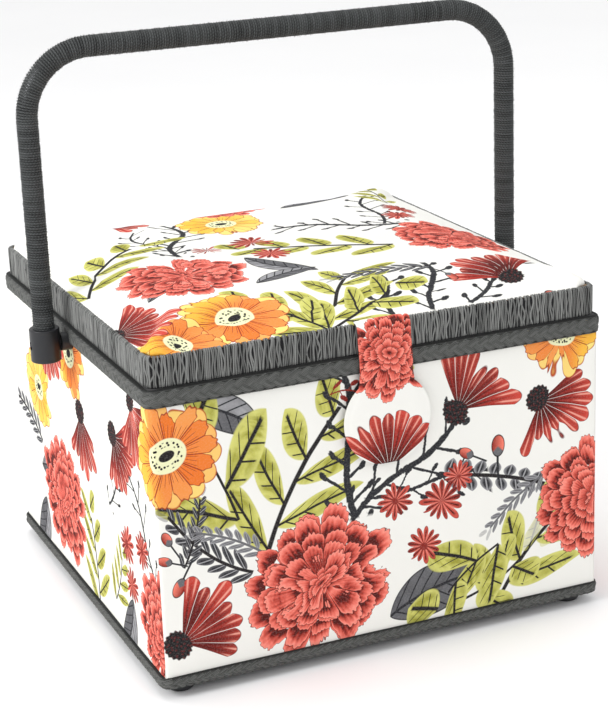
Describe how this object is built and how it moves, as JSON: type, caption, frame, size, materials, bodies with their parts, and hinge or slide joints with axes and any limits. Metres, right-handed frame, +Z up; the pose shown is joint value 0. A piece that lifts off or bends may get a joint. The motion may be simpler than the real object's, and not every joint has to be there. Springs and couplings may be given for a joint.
{
  "type": "sewing box with trays",
  "caption": "Square fabric-covered sewing box with a padded hinged lid, a fabric closure tab, a swinging yarn-wrapped bail handle, plastic feet and lift-out trays.",
  "frame": {"origin": "on the floor, under the middle of the box", "axes": "+X to the right, +Y to the back (hinge side), +Z up; the closure tab is on the -Y side"},
  "size_m": [0.3534, 0.3112, 0.3805],
  "materials": {
    "board": "raw hardboard, satin",
    "print": "printed cotton canvas, matte",
    "tab_print": "printed cotton canvas, matte",
    "base_cloth": "matte lining cloth",
    "lining": "plain cotton lining, matte",
    "braid": "plaited gimp, matte",
    "yarn": "charcoal yarn, fuzzy",
    "band_yarn": "grey yarn strands, matte",
    "foam": "open-cell foam, matte",
    "black_plastic": "moulded, fine texture",
    "socket_plastic": "moulded, satin",
    "tray_plastic": "moulded, semi-gloss",
    "steel": "zinc-plated, satin",
    "dark_steel": "black oxide, satin",
    "tube_metal": "painted tube, satin",
    "snap_metal": "polished"
  },
  "bodies": {
    "box": {"bottom_board": "board", "front_board": "board", "back_board": "board", "left_board": "board", "right_board": "board", "front_cover": "print", "back_cover": "print", "left_cover": "print", "right_cover": "print", "base_cover": "base_cloth", "wall_lining": "lining", "floor_lining": "lining", "front_tray_ledge": "board", "back_tray_ledge": "board", "top_braid": "braid", "back_top_braid": "braid", "base_braid": "braid", "feet": "black_plastic", "foot_screws": "steel", "left_hinge_box_leaf": "steel", "right_hinge_box_leaf": "steel", "left_hinge_pin": "steel", "right_hinge_pin": "steel", "hinge_box_screws": "steel", "left_pivot_screw": "dark_steel", "right_pivot_screw": "dark_steel", "left_pivot_spacer": "black_plastic", "right_pivot_spacer": "black_plastic", "left_pivot_nut": "steel", "right_pivot_nut": "steel", "box_snap": "snap_metal"},
    "lid": {"lid_frame": "board", "lid_board": "board", "lid_band": "band_yarn", "lid_foam": "foam", "lid_cover": "print", "lid_lining": "lining", "lid_pocket": "lining", "pincushion": "tab_print", "left_hinge_lid_leaf": "steel", "right_hinge_lid_leaf": "steel", "hinge_lid_screws": "steel"},
    "closure_tab": {"closure_tab": "tab_print", "tab_snap": "snap_metal"},
    "handle": {"handle_core": "tube_metal", "handle_wrap": "yarn", "left_socket": "socket_plastic", "right_socket": "socket_plastic"},
    "left_tray": {"left_tray": "tray_plastic"},
    "right_tray": {"right_tray": "tray_plastic"}
  },
  "joints": [
    {"name": "lid_hinge", "type": "hinge", "parent": "box", "child": "lid", "pos_m": [0, 0.1532, 0.19745], "axis": [-1, 0, 0], "range_deg": [0, 92]},
    {"name": "handle_swing", "type": "hinge", "parent": "box", "child": "handle", "pos_m": [0, 0, 0.1875], "axis": [-1, 0, 0], "range_deg": [-110, 115]},
    {"name": "tab_lift", "type": "hinge", "parent": "lid", "child": "closure_tab", "pos_m": [0, -0.1519, 0.2141], "axis": [-1, 0, 0], "range_deg": [0, 100]},
    {"name": "left_tray_lift", "type": "slide", "parent": "box", "child": "left_tray", "axis": [0, 0, 1], "range_m": [0, 0.016]},
    {"name": "right_tray_lift", "type": "slide", "parent": "box", "child": "right_tray", "axis": [0, 0, 1], "range_m": [0, 0.016]}
  ],
  "couplings": [
    {"joint": "handle_swing", "follows": "lid_hinge", "ratio": 1.25}
  ]
}
